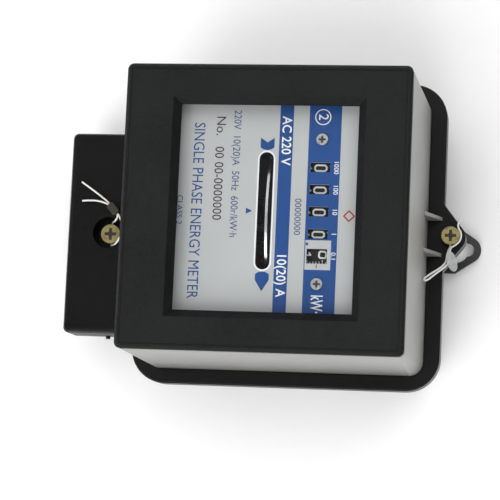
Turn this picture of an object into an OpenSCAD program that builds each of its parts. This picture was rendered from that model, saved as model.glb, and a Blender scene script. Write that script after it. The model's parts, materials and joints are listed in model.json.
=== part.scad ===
// Single-phase induction watt-hour meter with a five-drum register.
// Millimetres. +Z is up, the front faces -Y and the wall is the plane y = 0.
// The origin is on the wall plane, behind the centre of the square cover.

/* [Case] */
// Width of the black cover rim
rim_w = 118; // [98:0.5:142]
// Height of the black cover rim
rim_h = 118.7; // [98.5:0.1:143]
// Corner radius of the rim
rim_corner = 13.1; // [6:0.1:20]
// Distance from the wall to the front of the rim
rim_front = 38; // [34:0.5:50]
// How far back the skirt of the rim reaches
skirt_depth = 9; // [5:0.5:9]
// Thickness of the moulded walls of the case
case_wall = 2; // [1.5:0.1:3]
// Width of the bezel, which is also the front of the shell
bezel_w = 102.8; // [95:0.1:105]
// Distance from the wall to the front of the bezel
bezel_front = 105; // [102:0.5:120]
// Depth of the bezel's side
bezel_side = 4; // [3:0.5:6]
// How much each side of the shell slopes inwards
shell_draft = 1.8; // [0.5:0.1:2.5]

/* [Window] */
// Width of the window opening
window_w = 74; // [60:0.5:78]
// Height of the window opening
window_h = 63.9; // [50:0.1:70]
// Width of the sloping face round the window
window_slope = 2.7; // [1:0.1:5]
// Height of the window's centre above the centre of the cover
window_z = 0.6; // [-3:0.1:3]
// Thickness of the glass
glass_t = 2; // [1:0.1:2.5]

/* [Terminals] */
// Half of the terminal cover's width
tcover_half = 39.8; // [38:0.1:45]
// Height of the terminal cover
tcover_h = 29.4; // [27:0.1:36]
// Distance from the wall to the front of the terminal cover
tcover_front = 30; // [29:0.5:32]
// Radius of each wire hole
wire_r = 3.2; // [2:0.1:3.4]
// Radius of the two lower wall holes
wall_hole_r = 2.6; // [1.5:0.1:3]
// Distance of each lower wall hole from the middle
wall_hole_x = 31; // [30.5:0.1:31.5]

/* [Hanger] */
// Radius of the keyhole
keyhole_r = 5.2; // [4:0.1:6]
// Width of the keyhole's slot
keyslot_w = 5.2; // [3:0.1:6]
// Thickness of the hanger plate
hanger_t = 1.6; // [1:0.1:2]
// How far the hanger can be pushed in
hanger_travel = 12; // [6:0.5:12]

/* [Rotor] */
// Radius of the aluminium disc
disc_r = 40; // [34:0.5:40]
// Thickness of the disc
disc_t = 1.2; // [0.8:0.1:1.2]
// Radius of the spindle
spindle_r = 1.2; // [1:0.1:1.4]

/* [Register] */
// Distance between the middles of two drums
drum_pitch = 8; // [6.6:0.1:9.8]
// Radius of the drums
drum_r = 8.9; // [8:0.1:8.9]
// Width of the figured band of a drum
band_w = 5; // [4:0.1:5]
// Height of the drum shaft above the centre of the cover
drum_z = 18.6; // [17:0.1:20]
// Radial clearance of every shaft in its hole
running = 0.05; // [0.02:0.01:0.1]

/* [Hidden] */
$fn = 64;
eps = 0.01;
gap = 0.1;

// Case, from the front backwards: rim plate, shell lip, gasket, base flange
rim_plate = 2;
lip_t = 1;
gasket_t = 1;
lip_back = rim_front - rim_plate - lip_t;
flange_front = lip_back - gasket_t;
flange_t = 3;
skirt_wall = 1.4;
flange_w = rim_w - 2 * skirt_wall - 0.8;
flange_h = rim_h - 2 * skirt_wall - 0.8;
flange_corner = rim_corner - skirt_wall - 0.4;
pan_w = flange_w - 3.2;
pan_h = flange_h - 3.3;
pan_corner = flange_corner - 1;
back_t = 2.5;
shell_rear_w = bezel_w + 2 * shell_draft;
shell_corner = 5.5;
bezel_corner = 2.2;
shell_front = bezel_front - bezel_side;

// Top lug and its sealing screw
lug_z = rim_h / 2 + 2.95;
lug_r = 5.4;
lug_half = 12.8;
seal_head_r = 3.45;
seal_head_h = 5;
seal_shank_r = 2;
seal_hole_r = 0.7;
gusset_x = 6.9;
gusset_t = 1.3;
gusset_reach = 15;

// Window
glass_front = bezel_front - 3;
glass_rim = 3;
slope_depth = 2.7;

// Hanger, from the wall inwards: strap, hanger plate, base
strap_t = 0.9;
hanger_back = strap_t + 0.2;
hanger_half = 9.5;
keyhole_z = rim_h / 2 + 2.65;
keyslot_z = keyhole_z + 4.7;
hanger_tip_r = 5.3;
hanger_low = 30;
channel_depth = hanger_back + hanger_t + 0.3;
strap_half = 14.5;
strap_low = 32;
strap_h = 9;

// Terminal compartment
tcover_top = -rim_h / 2 - 0.85;
tcover_low = tcover_top - tcover_h;
tcover_back = 13.5;
tcover_corner = 2.2;
apron_half = 35.5;
apron_t = 3;
apron_low = tcover_low + 4.6;
block_half = 26.5;
block_low = apron_low + 1;
block_top = tcover_top - case_wall - 0.4;
neck_front = tcover_back - 0.5;
block_screw_x = 4.2;
block_screw_z = (block_top - pan_h / 2) / 2;
block_front = 25;
clamp_xs = [-21, -11, 11, 21];
clamp_half = 4.2;
clamp_h = 19;
clamp_low = block_low + 1;
clamp_back = 5;
clamp_front = 15.5;
wire_y = 9.5;
screw_zs = [5, 13];
well_r = 3;
cover_screw_z = tcover_low + 16.6;
cover_head_top = 26;
cover_head_r = 3.8;
cup_r = 6.2;
cup_floor = 22.4;
link_x = -16;
link_top = block_top - 3;
link_len = 11;
link_t = 0.9;

// Rotor: the spindle stands at x = 0
spindle_y = -53;
disc_top = 0;
spindle_low = -29;
spindle_top = 31;
pin_r = 0.45;

// Main frame
frame_back = 6;
frame_t = 3;
frame_face = frame_back + frame_t;
frame_half = 40;
frame_low = -34;
frame_high = 42;
arm_t = 4;
arm_half = 5;
arm_end = 67;
post_xs = [-36, 36];
post_zs = [-29, 33];
core_front = 29;
core_back = 19;
coil_wall = 7;

// Dial and register
dial_front = 96;
dial_t = 0.8;
dial_half = 42;
dial_low = -36;
dial_high = 37;
dial_screw_x = 2 * drum_pitch + band_w / 2 + 7.5;
dial_screw_z = drum_z + 0.4;
slot_half = 21.2;
slot_low = -3.4;
slot_high = 1.8;
shaft_r = 1;
drum_axis = [-85.3, drum_z];
side_x = 2 * drum_pitch + band_w / 2 + 4.1;
carry_w = (drum_pitch - band_w - 0.2) / 2;
train_w = 1.4;
side_t = 1.2;
side_low = 4.2;
side_high = 38;
side_back = 58;
flange_reach = 5.4;
flange_plate = 1.5;
carry_m = 0.7;
carry_teeth = 8;
drum_teeth = 20;
carry_r = 0.6;
carry_axis = drum_axis - [0, carry_m * (carry_teeth + drum_teeth) / 2];

// Gear train: worm, worm wheel and pinion, idler, tenths drum
worm_m = 0.3;
worm_r = 2;
wheel_teeth = 60;
train_m = 0.5;
pinion_teeth = 10;
idler_teeth = 50;
small_teeth = 12;
drum_gear_teeth = 24;
wheel_axis = [spindle_y - worm_r - worm_m * wheel_teeth / 2, drum_z];
arbor_r = 0.8;
reach_a = train_m * (pinion_teeth + idler_teeth) / 2;
reach_b = train_m * (small_teeth + drum_gear_teeth) / 2;
axis_span = wheel_axis[0] - drum_axis[0];
idler_dy = (reach_b * reach_b - reach_a * reach_a + axis_span * axis_span) / (2 * axis_span);
idler_dz = sqrt(reach_b * reach_b - idler_dy * idler_dy);
idler_axis = drum_axis + [idler_dy, idler_dz];
to_idler = atan2(idler_axis[1] - wheel_axis[1], idler_axis[0] - wheel_axis[0]);
to_drum = atan2(drum_axis[1] - idler_axis[1], drum_axis[0] - idler_axis[0]);
outer_gear_x = side_x + side_t + 1;

// Seal wires: routes as round numbers
seal_wire_r = 0.35;
top_wire = [[0, -40.6, 62.3], [2, -40.6, 62.3], [4, -40.7, 62.1], [5.5, -41.4, 61.6],
    [7, -42.4, 61.3], [8.6, -43.5, 61.1], [10.2, -44.6, 60.9], [11.6, -45.8, 60.2],
    [13.4, -47.4, 58.5], [15.2, -49.2, 56.2], [16.8, -50.8, 54.4], [17.8, -51.8, 53.6],
    [18.4, -52.2, 53.9], [18, -51.6, 54.9], [16.8, -50.4, 56.2], [15.2, -48.8, 57.8],
    [13.4, -47, 59.7], [11.8, -45.6, 61.2], [10.2, -44.4, 62], [8.4, -43.3, 62.2],
    [6.8, -42.9, 62.3], [5.4, -42.5, 62.3], [4.5, -42.3, 62.7], [4, -42.2, 63.4],
    [3.2, -42.2, 64.5], [1.9, -42.2, 65.7], [0.2, -42.2, 66.2], [-1.4, -42.2, 66],
    [-2.7, -42.3, 65.3], [-3.8, -42.5, 65], [-4.9, -42.7, 65.2], [-6, -42.9, 65.8]];
bottom_wire = [[-19.6, -31.8, -84.2], [-17.6, -32.6, -81.2], [-15.4, -32.8, -78],
    [-13.2, -32.4, -75], [-11.4, -31.6, -72.9], [-9.6, -31.2, -71.2], [-7.8, -31, -69.9],
    [-6.2, -31, -69.4], [-4.8, -30.4, -70.2], [-4.6, -28.6, -71], [-4.7, -26.2, -72],
    [-4.4, -24.4, -72.7], [-3.4, -23.6, -73], [-1.6, -23.5, -73], [1.6, -23.5, -73],
    [3.4, -23.6, -73], [4.4, -24.4, -72.8], [4.8, -26.2, -72.2], [4.7, -28.4, -71],
    [4.2, -30.2, -69.6], [2.6, -31, -68.3], [0, -31.2, -67.3], [-2.8, -31.3, -67.3],
    [-5.6, -31.5, -68.2], [-8, -31.7, -69.7], [-9.9, -31.9, -71.6], [-11.2, -32.5, -74],
    [-12, -32.9, -77], [-12.2, -32.6, -80.4], [-12.1, -32, -83.6]];

// Point where a line from p touches a circle; side is 1 or -1
function touch(p, c, r, side) =
    let (v = c - p, d = norm(v), a = atan2(v[1], v[0]) + side * asin(r / d))
    p + sqrt(d * d - r * r) * [cos(a), sin(a)];

// A round end that both sides of a plate run into, from the corners [half, foot] and [-half, foot]
function round_end(half, foot, c, r) =
    let (t = touch([half, foot], c, r, -1), a = atan2(t[1] - c[1], t[0] - c[0]), steps = 16)
    concat([[half, foot]], [for (i = [0 : steps])
        let (b = a + (180 - 2 * a) * i / steps) c + r * [cos(b), sin(b)]], [[-half, foot]]);

// A flat outline in X and Z, from y = -back to y = -front
module slab(back, front) {
    translate([0, -back, 0]) rotate([90, 0, 0]) linear_extrude(front - back) children();
}

// A flat outline in Y and Z, from x to x + length
module on_x(x, length) {
    translate([x, 0, 0]) rotate([90, 0, 90]) linear_extrude(length) children();
}

// A round bar along Y, from y = -back to y = -front
module rod_y(x, z, r, back, front) {
    translate([x, -back, z]) rotate([90, 0, 0]) cylinder(r = r, h = front - back);
}

module rod_z(x, y, r, low, high) {
    translate([x, y, low]) cylinder(r = r, h = high - low);
}

// A round bar along X; at is its place in Y and Z
module rod_x(at, r, x0, x1) {
    translate([x0, at[0], at[1]]) rotate([0, 90, 0]) cylinder(r = r, h = x1 - x0);
}

module block(x0, x1, back, front, z0, z1) {
    translate([x0, -front, z0]) cube([x1 - x0, front - back, z1 - z0]);
}

// A rectangle with round corners, centred
module round_rect(w, h, r) {
    square([w - 2 * r, h], center = true);
    square([w, h - 2 * r], center = true);
    for (x = [-1, 1], z = [-1, 1]) translate([x * (w / 2 - r), z * (h / 2 - r)]) circle(r);
}

// A pan-head screw along Y with a crossed recess
module pan_screw(x, z, head_r, head_h, r, head_back, length) {
    recess = min(head_h / 2, 1.3);
    difference() {
        union() {
            rod_y(x, z, head_r, head_back, head_back + head_h);
            rod_y(x, z, r, head_back - length, head_back + eps);
        }
        for (turn = [0, 90])
            translate([x, -head_back - head_h, z]) rotate([0, turn, 0])
                cube([head_r * 1.25, 2 * recess, head_r * 0.32], center = true);
        rod_y(x, z, head_r * 0.32, head_back + head_h - recess, head_back + head_h + 1);
    }
}

// Tooth outline of a small gear; the first tooth points along the outline's X
module gear_face(teeth, m, tip = 0.8, root = 1.1) {
    r = teeth * m / 2;
    q = 90 / teeth;
    polygon([for (i = [0 : teeth - 1], p = [[-1.15, -root], [-0.45, tip], [0.45, tip], [1.15, -root]])
        let (a = 4 * i * q + p[0] * q, d = r + p[1] * m) [d * cos(a), d * sin(a)]]);
}

// Unit direction of a path at point i
function along(path, i) =
    let (v = path[min(i + 1, len(path) - 1)] - path[max(i - 1, 0)]) v / norm(v);

// A sideways direction for every point of a path, carried along without twisting
function sideways(path, i, u) = i == len(path) ? [] :
    let (t = along(path, i), w = u - (u * t) * t, n = w / norm(w)) concat([n], sideways(path, i + 1, n));

// A path with every inner corner rounded, starting the turn a distance c from it
function eased(path, c) = [path[0], for (i = [1 : len(path) - 2])
    let (p = path[i], a = path[i - 1] - p, b = path[i + 1] - p,
        a1 = p + a * c / norm(a), b1 = p + b * c / norm(b))
    for (s = [0 : 0.25 : 1]) (1 - s) * (1 - s) * a1 + 2 * s * (1 - s) * p + s * s * b1,
    path[len(path) - 1]];

// A tube of eight sides along a list of points
module wire(path, r) {
    n = len(path);
    sides = 8;
    t0 = cross(along(path, 0), [0.3, 1, 0.2]);
    us = sideways(path, 0, t0 / norm(t0));
    function ring(i) =
        let (v = cross(along(path, i), us[i]))
        [for (k = [0 : sides - 1]) path[i] + r * (cos(k * 360 / sides) * us[i] + sin(k * 360 / sides) * v)];
    polyhedron(
        points = [for (i = [0 : n - 1]) each ring(i)],
        faces = concat(
            [[for (k = [0 : sides - 1]) k]],
            [for (i = [0 : n - 2], k = [0 : sides - 1])
                let (a = i * sides + k, b = i * sides + (k + 1) % sides)
                [a, a + sides, b + sides, b]],
            [[for (k = [sides - 1 : -1 : 0]) (n - 1) * sides + k]]),
        convexity = 10);
}

// Outline of the lug, made smaller by inset
module lug_outline(inset = 0) {
    half = lug_half - inset;
    foot = rim_h / 2 - 0.2;
    polygon(concat([[-half, foot - 3], [half, foot - 3]],
        round_end(half, foot, [0, lug_z], lug_r - inset)));
}

module rim_outline(inset = 0) {
    round_rect(rim_w - 2 * inset, rim_h - 2 * inset, rim_corner - inset);
    lug_outline(inset);
}

// ---- Base ----

module base() {
    color([0.16, 0.16, 0.17]) difference() {
        union() {
            difference() {
                slab(0, flange_front - flange_t) round_rect(pan_w, pan_h, pan_corner);
                slab(back_t, flange_front)
                    round_rect(pan_w - 2 * case_wall, pan_h - 2 * case_wall, pan_corner - case_wall);
            }
            difference() {
                slab(flange_front - flange_t, flange_front) round_rect(flange_w, flange_h, flange_corner);
                slab(flange_front - flange_t - eps, flange_front + eps)
                    round_rect(pan_w - 2 * case_wall, pan_h - 2 * case_wall, pan_corner - case_wall);
            }
            base_lug();
            block(-strap_half - 1.5, strap_half + 1.5, 0, channel_depth + 1.6, 14, pan_h / 2 - 1);
            for (x = post_xs, z = post_zs) rod_y(x, z, 4, 1, frame_back);
            base_apron();
        }
        hanger_channel();
        rod_y(0, lug_z, seal_shank_r + running, 19, rim_front);
        for (x = post_xs, z = post_zs) rod_y(x, z, 1.7, 1.2, frame_back + 1);
        for (x = [-1, 1]) rod_y(x * wall_hole_x, cover_screw_z, wall_hole_r, -1, apron_t + 4);
        for (x = clamp_xs) rod_z(x, -wire_y, 2, -pan_h / 2 - 1, -pan_h / 2 + case_wall + 1);
        for (x = [-1, 1]) rod_y(x * block_screw_x, block_screw_z, 1.4, 0.8, apron_t + 1);
    }
}

module base_lug() {
    r = lug_r - skirt_wall - 0.3;
    front = rim_front - rim_plate - running;
    rod_y(0, lug_z, r, 18, front);
    block(-r, r, 18, flange_front, pan_h / 2 - 1, lug_z);
}

module base_apron() {
    block(-apron_half, apron_half, 0, apron_t, apron_low, -pan_h / 2 + 1);
    for (x = [-1, 1]) {
        rod_y(x * wall_hole_x, cover_screw_z, wall_hole_r + 1.6, 0, apron_t + 3);
        block(x * (apron_half - 1) - 1, x * (apron_half - 1) + 1, 0, tcover_back + 3,
            apron_low, tcover_top - 2.5);
    }
}

module hanger_channel() {
    half = hanger_half + 0.3;
    block(-half, half, -1, channel_depth, hanger_low - hanger_travel - 1, pan_h);
    block(-strap_half - 0.2, strap_half + 0.2, -1, strap_t, strap_low - 0.2, strap_low + strap_h + 0.2);
    for (x = [-1, 1]) rod_y(x * 12.2, strap_low + strap_h / 2, 1, -1, channel_depth + 0.8);
}

module hanger_plate() {
    color([0.13, 0.13, 0.14]) slab(hanger_back, hanger_back + hanger_t) difference() {
        polygon(concat([[-hanger_half, hanger_low], [hanger_half, hanger_low]],
            round_end(hanger_half, keyhole_z, [0, keyslot_z], hanger_tip_r)));
        translate([0, keyhole_z]) circle(keyhole_r);
        translate([0, keyslot_z]) circle(keyslot_w / 2);
        translate([-keyslot_w / 2, keyhole_z]) square([keyslot_w, keyslot_z - keyhole_z]);
    }
}

module hanger_strap() {
    color([0.6, 0.6, 0.58]) difference() {
        block(-strap_half, strap_half, 0, strap_t, strap_low, strap_low + strap_h);
        for (x = [-1, 1]) rod_y(x * 12.2, strap_low + strap_h / 2, 1, -1, strap_t + 1);
    }
}

module strap_rivets() {
    color([0.7, 0.7, 0.68]) for (x = [-1, 1])
        rod_y(x * 12.2, strap_low + strap_h / 2, 1, 0, channel_depth + 0.8);
}

module cover_gasket() {
    color([0.1, 0.1, 0.1]) slab(flange_front, lip_back - running) difference() {
        round_rect(flange_w - 0.4, flange_h - 0.4, flange_corner - 0.2);
        round_rect(pan_w - 2 * case_wall, pan_h - 2 * case_wall, pan_corner - case_wall);
    }
}

// ---- Main cover ----

module cover_rim() {
    soften = 0.5;
    color([0.14, 0.14, 0.14]) difference() {
        union() {
            slab(rim_front - skirt_depth, rim_front - soften) rim_outline();
            slab(rim_front - soften, rim_front) rim_outline(soften);
            for (x = [-33, 33])
                block(x - 3, x + 3, rim_front - skirt_depth - 4, rim_front - skirt_depth + 1,
                    -rim_h / 2, -rim_h / 2 + 1.2);
        }
        slab(rim_front - skirt_depth - eps, rim_front - rim_plate) rim_outline(skirt_wall);
        slab(rim_front - rim_plate - 1, rim_front + 1)
            round_rect(shell_rear_w + 0.3, shell_rear_w + 0.3, shell_corner);
        rod_y(0, lug_z, seal_shank_r + 0.2, 0, rim_front + 1);
    }
}

// Half of the shell's width at a distance from the wall
function shell_half(d) = bezel_w / 2 + shell_draft * (shell_front - d) / (shell_front - rim_front);

module shell_solid(inset, back, front) {
    w0 = 2 * (shell_half(back) - inset);
    w1 = 2 * (shell_half(front) - inset);
    hull() {
        slab(back, back + eps) round_rect(w0, w0, max(shell_corner - inset, 1.2), $fn = 32);
        slab(front - eps, front) round_rect(w1, w1, max(bezel_corner - inset, 1.2), $fn = 32);
    }
}

module cover_shell() {
    color([0.72, 0.71, 0.68]) difference() {
        union() {
            shell_solid(0, rim_front - rim_plate, shell_front);
            slab(lip_back, lip_back + lip_t) round_rect(flange_w, flange_h, flange_corner);
            for (x = [-1, 1]) on_x(x * gusset_x - gusset_t / 2, gusset_t) polygon([
                [-rim_front - gusset_reach, shell_half(rim_front + gusset_reach) - 1],
                [-rim_front - gusset_reach, shell_half(rim_front + gusset_reach) + 0.4],
                [-rim_front, rim_h / 2 - 0.6],
                [-rim_front, shell_half(rim_front) - 1]]);
        }
        shell_solid(case_wall, lip_back - 1, shell_front + 1);
    }
}

module front_bezel() {
    soften = 0.9;
    line = 1.7;
    slope_w = window_w + 2 * window_slope;
    slope_h = window_h + 2 * window_slope;
    color([0.18, 0.18, 0.18]) difference() {
        union() {
            hull() {
                slab(shell_front, bezel_front - soften) round_rect(bezel_w, bezel_w, bezel_corner, $fn = 32);
                slab(shell_front, bezel_front)
                    round_rect(bezel_w - 2 * soften, bezel_w - 2 * soften, bezel_corner - soften, $fn = 32);
            }
            slab(shell_front - 3, shell_front + 1) difference() {
                round_rect(bezel_w - 2 * case_wall - 0.6, bezel_w - 2 * case_wall - 0.6, 1.6);
                square(bezel_w - 4 * case_wall - 0.6, center = true);
            }
        }
        slab(bezel_front - 0.3, bezel_front + 1) difference() {
            square(bezel_w - 2 * line, center = true);
            square(bezel_w - 2 * line - 0.8, center = true);
        }
        translate([0, 0, window_z]) {
            hull() {
                slab(bezel_front - eps, bezel_front + eps) square([slope_w, slope_h], center = true);
                slab(bezel_front - slope_depth - eps, bezel_front - slope_depth)
                    square([window_w, window_h], center = true);
            }
            slab(shell_front - 1, bezel_front) square([window_w, window_h], center = true);
            slab(shell_front - 1, glass_front)
                square([window_w + 2 * glass_rim + gap, window_h + 2 * glass_rim + gap], center = true);
        }
    }
}

module window_glass() {
    color([0.8, 0.9, 0.95, 0.3]) translate([0, 0, window_z]) slab(glass_front - glass_t, glass_front)
        square([window_w + 2 * glass_rim, window_h + 2 * glass_rim], center = true);
}

module top_seal_screw() {
    color([0.75, 0.66, 0.35]) difference() {
        pan_screw(0, lug_z, seal_head_r, seal_head_h, seal_shank_r, rim_front, 17);
        rod_x([-rim_front - 2.6, lug_z], seal_hole_r, -5, 5);
    }
}

module top_seal_wire() {
    color("white") wire(top_wire, seal_wire_r);
}

module top_seal_tag() {
    color([0.9, 0.9, 0.88, 0.6]) translate([10.1, -44.9, 63.2]) rotate([90, -17, 0])
        linear_extrude(3, center = true) scale([1, 0.5]) circle(3.8);
}

// ---- Terminals ----

module terminal_block() {
    color([0.12, 0.12, 0.12]) difference() {
        union() {
            block(-block_half, block_half, apron_t, block_front, block_low, block_top);
            block(-block_half, block_half, apron_t, neck_front, block_top - 1, -pan_h / 2);
        }
        for (x = clamp_xs) {
            block(x - clamp_half - gap, x + clamp_half + gap, clamp_back - gap, clamp_front + gap,
                block_low - 1, clamp_low + clamp_h + gap);
            rod_z(x, -wire_y, 1.8, block_low, -pan_h / 2 + 1);
            for (z = screw_zs) rod_y(x, clamp_low + z, well_r, clamp_front, block_front + 1);
        }
        rod_y(0, cover_screw_z, cup_r + 1.4, cup_floor - 1.8, block_front + 1);
        rod_y(0, cover_screw_z, 1.5 + running, 6, block_front);
        for (x = [-1, 1]) {
            rod_y(x * block_screw_x, block_screw_z, 1.4, 0, neck_front + 1);
            rod_y(x * block_screw_x, block_screw_z, 2.4, neck_front - 2, neck_front + 1);
        }
        for (z = [link_top, link_top - link_len + 3]) rod_y(link_x, z, 0.9, block_front - 4, block_front + 1);
    }
}

module block_screws() {
    color([0.75, 0.66, 0.35]) for (x = [-1, 1])
        pan_screw(x * block_screw_x, block_screw_z, 2.2, 1.6, 1.35, neck_front - 2, 10);
}

module terminal_clamps() {
    color([0.8, 0.65, 0.3]) for (x = clamp_xs) difference() {
        block(x - clamp_half, x + clamp_half, clamp_back, clamp_front, clamp_low, clamp_low + clamp_h);
        rod_z(x, -wire_y, wire_r, clamp_low - 1, clamp_low + clamp_h - 2);
        for (z = screw_zs) rod_y(x, clamp_low + z, 1.75, wire_y, clamp_front + 1);
    }
}

module terminal_screws() {
    color([0.75, 0.66, 0.35]) for (x = clamp_xs, z = screw_zs)
        pan_screw(x, clamp_low + z, 2.6, 2, 1.7, clamp_front + 0.6, 2.5);
}

module voltage_link() {
    color([0.85, 0.7, 0.35]) slab(block_front + gap, block_front + gap + link_t) difference() {
        union() {
            translate([link_x - 2, link_top - link_len + 3]) square([4, link_len - 3]);
            for (z = [link_top, link_top - link_len + 3]) translate([link_x, z]) circle(2);
        }
        translate([link_x, link_top]) circle(1 + running);
        translate([link_x, link_top - link_len + 3]) circle(1.1);
        translate([link_x, link_top - link_len + 1.9]) square([3, 2.7]);
    }
}

module link_screws() {
    top = block_front + gap + link_t + gap;
    color([0.75, 0.66, 0.35]) for (z = [link_top, link_top - link_len + 3]) {
        rod_y(link_x, z, 0.85, block_front - 4, block_front + eps);
        pan_screw(link_x, z, 1.7, 1, 0.95, top, top - block_front);
    }
}

module terminal_cover() {
    mid = (tcover_top + tcover_low) / 2;
    w = 2 * tcover_half;
    color([0.13, 0.13, 0.13]) difference() {
        union() {
            difference() {
                translate([0, 0, mid]) hull() {
                    slab(tcover_back, tcover_front - 2.2) round_rect(w, tcover_h, tcover_corner, $fn = 32);
                    slab(tcover_back, tcover_front - 0.7)
                        round_rect(w - 1.4, tcover_h - 1.4, tcover_corner, $fn = 32);
                    slab(tcover_back, tcover_front) round_rect(w - 4, tcover_h - 4, tcover_corner, $fn = 32);
                }
                translate([0, 0, mid]) slab(tcover_back - 1, tcover_front - case_wall)
                    square([w - 2 * case_wall, tcover_h - 2 * case_wall], center = true);
            }
            rod_y(0, cover_screw_z, cup_r + 1, cup_floor - 1, tcover_front - 1);
            rod_x([-tcover_back - 1.4, tcover_low + 15.3], 0.9, tcover_half - 1, tcover_half + 1);
        }
        rod_y(0, cover_screw_z, cup_r, cup_floor, tcover_front + 1);
        rod_y(0, cover_screw_z, 1.7, 0, tcover_front);
    }
}

module terminal_cover_screw() {
    head_h = cover_head_top - cup_floor;
    color([0.75, 0.66, 0.35]) difference() {
        pan_screw(0, cover_screw_z, cover_head_r, head_h, 1.5, cup_floor, 14);
        rod_x([-cup_floor - 1.1, cover_screw_z], seal_hole_r, -5, 5);
    }
}

module bottom_seal_wire() {
    color("white") wire(bottom_wire, seal_wire_r);
}

module bottom_seal_bead() {
    color([0.2, 0.19, 0.15]) translate([-9.2, -31.55, -71]) rotate([90, -40, 0])
        linear_extrude(2.6, center = true) round_rect(5.2, 3.4, 1);
}

// ---- Measuring movement ----

module main_frame() {
    color([0.7, 0.71, 0.72]) difference() {
        union() {
            block(-frame_half, frame_half, frame_back, frame_face, frame_low - 2, frame_high);
            block(-49.5, -frame_half + 1, frame_back, frame_face, -8, 8);
            block(-49.5, -46.5, frame_back, 60, -8, 8);
            block(-arm_half, arm_half, frame_back, arm_end, frame_high - arm_t, frame_high);
            block(-arm_half, arm_half, frame_back, 60, frame_low - 2, frame_low + arm_t - 2);
            for (x = [-1, 1]) {
                rod_y(x * 18, 27.5, 3, frame_back, core_back);
                rod_y(x * 14, -27.5, 2.4, frame_back, core_back);
            }
        }
        block(-10, 10, 0, frame_face + 1, -20, 24);
        for (x = post_xs, z = post_zs) rod_y(x, z, 1.9, 0, frame_face + 1);
        for (x = [-1, 1]) {
            rod_y(x * 18, 27.5, 1.3, 10, core_back + 1);
            rod_y(x * 14, -27.5, 1.3, 10, core_back + 1);
        }
        rod_z(0, spindle_y, 2.5, frame_high - arm_t - 1, frame_high + 1);
        rod_z(0, spindle_y, 3, frame_low - 3, frame_low + arm_t);
        for (y = [-60, -64]) rod_z(0, y, 1.2, frame_high - arm_t - 1, frame_high + 1);
        for (y = [-57, -49]) rod_x([y, 0], 1.2, -50, -46);
    }
}

module frame_screws() {
    color([0.75, 0.66, 0.35]) for (x = post_xs, z = post_zs)
        pan_screw(x, z, 3.3, 2.2, 1.65, frame_face, 7.5);
}

module voltage_core() {
    color([0.35, 0.36, 0.38]) difference() {
        slab(core_back, core_front) difference() {
            union() {
                translate([-22, 4]) square([44, 27]);
                translate([-5, disc_top + 1]) square([10, 4]);
            }
            for (x = [-1, 1]) translate([x * 9.5, 17.25]) square([9, 17.5], center = true);
        }
        for (x = [-1, 1]) rod_y(x * 18, 27.5, 1.35, core_back - 1, core_front + 1);
    }
}

// A coil on a square former round a core leg; x is the leg's middle
module coil(x, leg_half, out_half, low, high) {
    back = core_back - coil_wall;
    front = core_front + coil_wall;
    difference() {
        union() {
            block(x - out_half, x + out_half, back, front, low, low + 1.2);
            block(x - out_half, x + out_half, back, front, high - 1.2, high);
            slab_z(low + 1, high - 1) translate([x, -(core_back + core_front) / 2])
                round_rect(2 * out_half - 1.4, front - back - 1.4, 2.5);
        }
        block(x - leg_half - gap, x + leg_half + gap, core_back - gap, core_front + gap, low - 1, high + 1);
    }
}

module slab_z(low, high) {
    translate([0, 0, low]) linear_extrude(high - low) children();
}

module voltage_coil() {
    color([0.55, 0.28, 0.12]) coil(0, 5, 13.6, 8.8, 25.7);
}

module current_core() {
    color([0.35, 0.36, 0.38]) difference() {
        slab(core_back, core_front) {
            translate([-17, -30]) square([34, 5]);
            for (x = [-1, 1]) translate([x * 9.5 - 3, -27]) square([6, 27 - disc_t - 1 - disc_top]);
        }
        for (x = [-1, 1]) rod_y(x * 14, -27.5, 1.35, core_back - 1, core_front + 1);
    }
}

module current_coils() {
    color([0.6, 0.32, 0.16]) for (x = [-9.5, 9.5]) coil(x, 3, 6.4, -24.5, -8);
}

module core_screws() {
    color([0.75, 0.66, 0.35]) for (at = [[-18, 27.5], [18, 27.5], [-14, -27.5], [14, -27.5]])
        pan_screw(at[0], at[1], 2.3, 1.6, 1.25, core_front, 17);
}

module brake_yoke() {
    color([0.5, 0.5, 0.52]) difference() {
        union() {
            block(-46.5, -42, 46, 60, -10, 9);
            for (z = [-10, 5]) block(-43, -28, 46, 60, z, z + 4);
        }
        for (y = [-57, -49]) rod_x([y, 0], 1.25, -47, -41);
    }
}

module brake_magnets() {
    color([0.25, 0.25, 0.27]) {
        rod_z(-34.5, spindle_y, 5.5, -6, -disc_t - 1.2);
        rod_z(-34.5, spindle_y, 5.5, disc_top + 1.2, 5);
    }
}

module brake_screws() {
    color([0.75, 0.66, 0.35]) for (y = [-57, -49]) rod_x([y, 0], 1.15, -49.5, -43);
}

module rotor_disc() {
    color([0.85, 0.86, 0.87]) difference() {
        rod_z(0, spindle_y, disc_r, disc_top - disc_t, disc_top);
        rod_z(0, spindle_y, spindle_r, disc_top - disc_t - 1, disc_top + 1);
        for (x = [-1, 1]) rod_z(x * 20, spindle_y, 1.5, disc_top - disc_t - 1, disc_top + 1);
    }
}

module spindle() {
    color([0.8, 0.8, 0.8]) difference() {
        union() {
            rod_z(0, spindle_y, spindle_r, spindle_low + 2, spindle_top);
            rod_z(0, spindle_y, pin_r, spindle_low - 1, spindle_low + 3);
            rod_z(0, spindle_y, 3.2, disc_top, disc_top + 3);
            rod_z(0, spindle_y, 3.2, disc_top - disc_t - 3, disc_top - disc_t);
        }
        rod_z(0, spindle_y, pin_r + running, spindle_top - 4, spindle_top + 1);
    }
}

module worm() {
    lead = PI * worm_m;
    turns = 6;
    color([0.82, 0.68, 0.35]) difference() {
        translate([0, spindle_y, drum_z - turns * lead / 2])
            linear_extrude(turns * lead, twist = -360 * turns, slices = 10 * turns, $fn = 12)
                translate([0, 0.3]) circle(worm_r);
        rod_z(0, spindle_y, spindle_r, drum_z - 10, drum_z + 10, $fn = 24);
    }
}

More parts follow.
